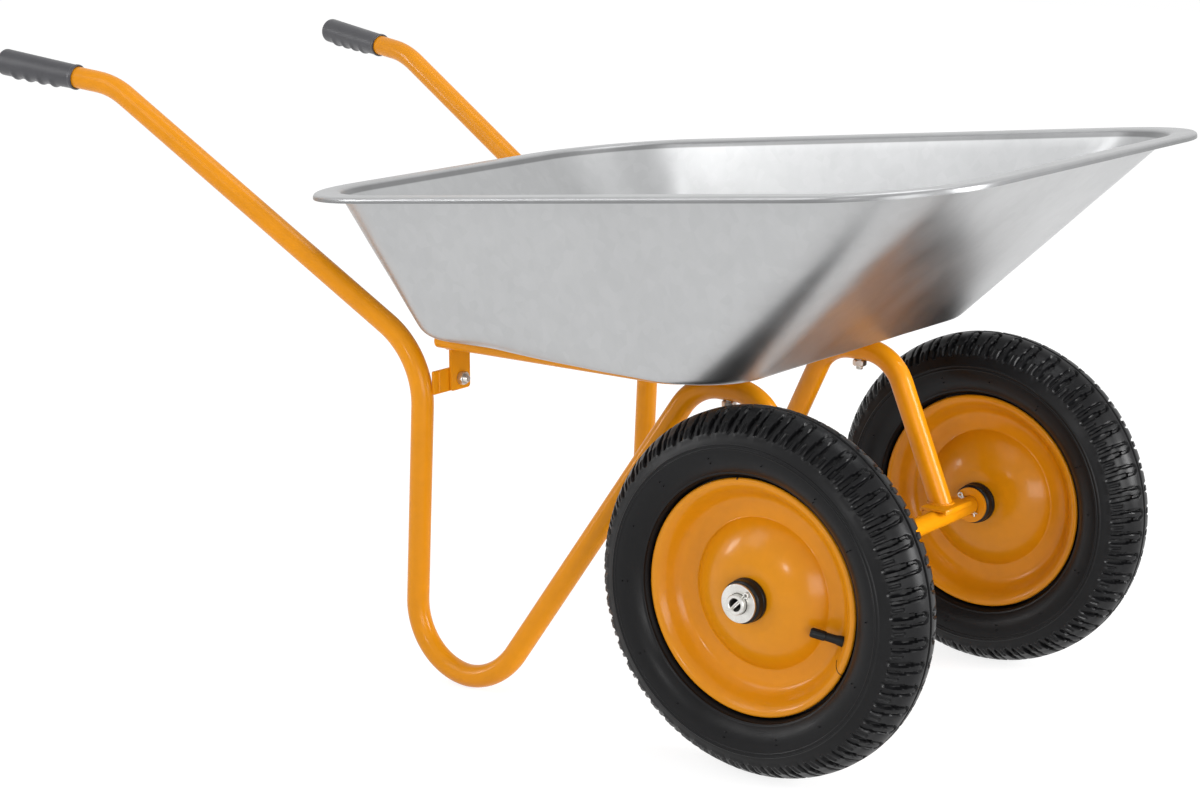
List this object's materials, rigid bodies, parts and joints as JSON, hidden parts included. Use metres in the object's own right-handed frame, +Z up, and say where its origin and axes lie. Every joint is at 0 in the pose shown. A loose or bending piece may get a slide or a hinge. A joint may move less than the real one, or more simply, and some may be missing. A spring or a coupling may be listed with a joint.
{
  "type": "wheelbarrow",
  "caption": "Two-wheeled wheelbarrow with a galvanised pressed tray on a bent orange tube frame, pneumatic tyres on a through axle and black finger grips.",
  "frame": {"origin": "on the ground, on the middle plane, midway between the grips' ends and the tray's front lip", "axes": "+X from the grips to the wheels and nose, +Y to the left of the person pushing, +Z up"},
  "size_m": [1.2342, 0.6268, 0.645],
  "materials": {
    "galvanised_sheet": "zinc-coated pressed sheet, satin with soft spangle and bright streaks",
    "frame_paint": "gloss orange powder coat",
    "rim_paint": "gloss orange paint",
    "grip_plastic": "soft black moulded grip, semi-gloss",
    "cap_plastic": "black moulded plastic",
    "tyre_rubber": "black tyre rubber with lugged tread",
    "tube_rubber": "black rubber",
    "zinc_fasteners": "zinc-plated steel",
    "bearing_steel": "ground bearing steel"
  },
  "bodies": {
    "barrow": {"tray": "galvanised_sheet", "left_frame_tube": "frame_paint", "right_frame_tube": "frame_paint", "left_grip": "grip_plastic", "right_grip": "grip_plastic", "tray_support_hoop": "frame_paint", "rear_cross_tube": "frame_paint", "left_hanging_strap": "frame_paint", "right_hanging_strap": "frame_paint", "left_leg_strap": "frame_paint", "right_leg_strap": "frame_paint", "front_tray_bolts": "zinc_fasteners", "rear_tray_bolts": "zinc_fasteners", "tray_bolt_washers": "zinc_fasteners", "tray_bolt_nuts": "zinc_fasteners", "strap_bolts": "zinc_fasteners", "strap_nuts": "zinc_fasteners", "axle": "frame_paint", "axle_washers": "zinc_fasteners", "cotter_pins": "zinc_fasteners", "left_axle_saddle": "frame_paint", "right_axle_saddle": "frame_paint", "bearing_inner_races": "bearing_steel"},
    "left_wheel": {"left_tyre": "tyre_rubber", "left_inner_tube": "tube_rubber", "left_rim_outer_half": "rim_paint", "left_rim_inner_half": "rim_paint", "left_valve_stem": "tube_rubber", "left_valve_cap": "cap_plastic", "left_hub_tube": "rim_paint", "left_bearing_outer_races": "bearing_steel", "left_bearing_balls": "bearing_steel", "left_dust_caps": "cap_plastic"},
    "right_wheel": {"right_tyre": "tyre_rubber", "right_inner_tube": "tube_rubber", "right_rim_outer_half": "rim_paint", "right_rim_inner_half": "rim_paint", "right_valve_stem": "tube_rubber", "right_valve_cap": "cap_plastic", "right_hub_tube": "rim_paint", "right_bearing_outer_races": "bearing_steel", "right_bearing_balls": "bearing_steel", "right_dust_caps": "cap_plastic"}
  },
  "joints": [
    {"name": "left_wheel_spin", "type": "hinge", "parent": "barrow", "child": "left_wheel", "pos_m": [0.398, 0.22, 0.182], "axis": [0, 1, 0], "continuous": true},
    {"name": "right_wheel_spin", "type": "hinge", "parent": "barrow", "child": "right_wheel", "pos_m": [0.398, -0.22, 0.182], "axis": [0, 1, 0], "continuous": true}
  ]
}
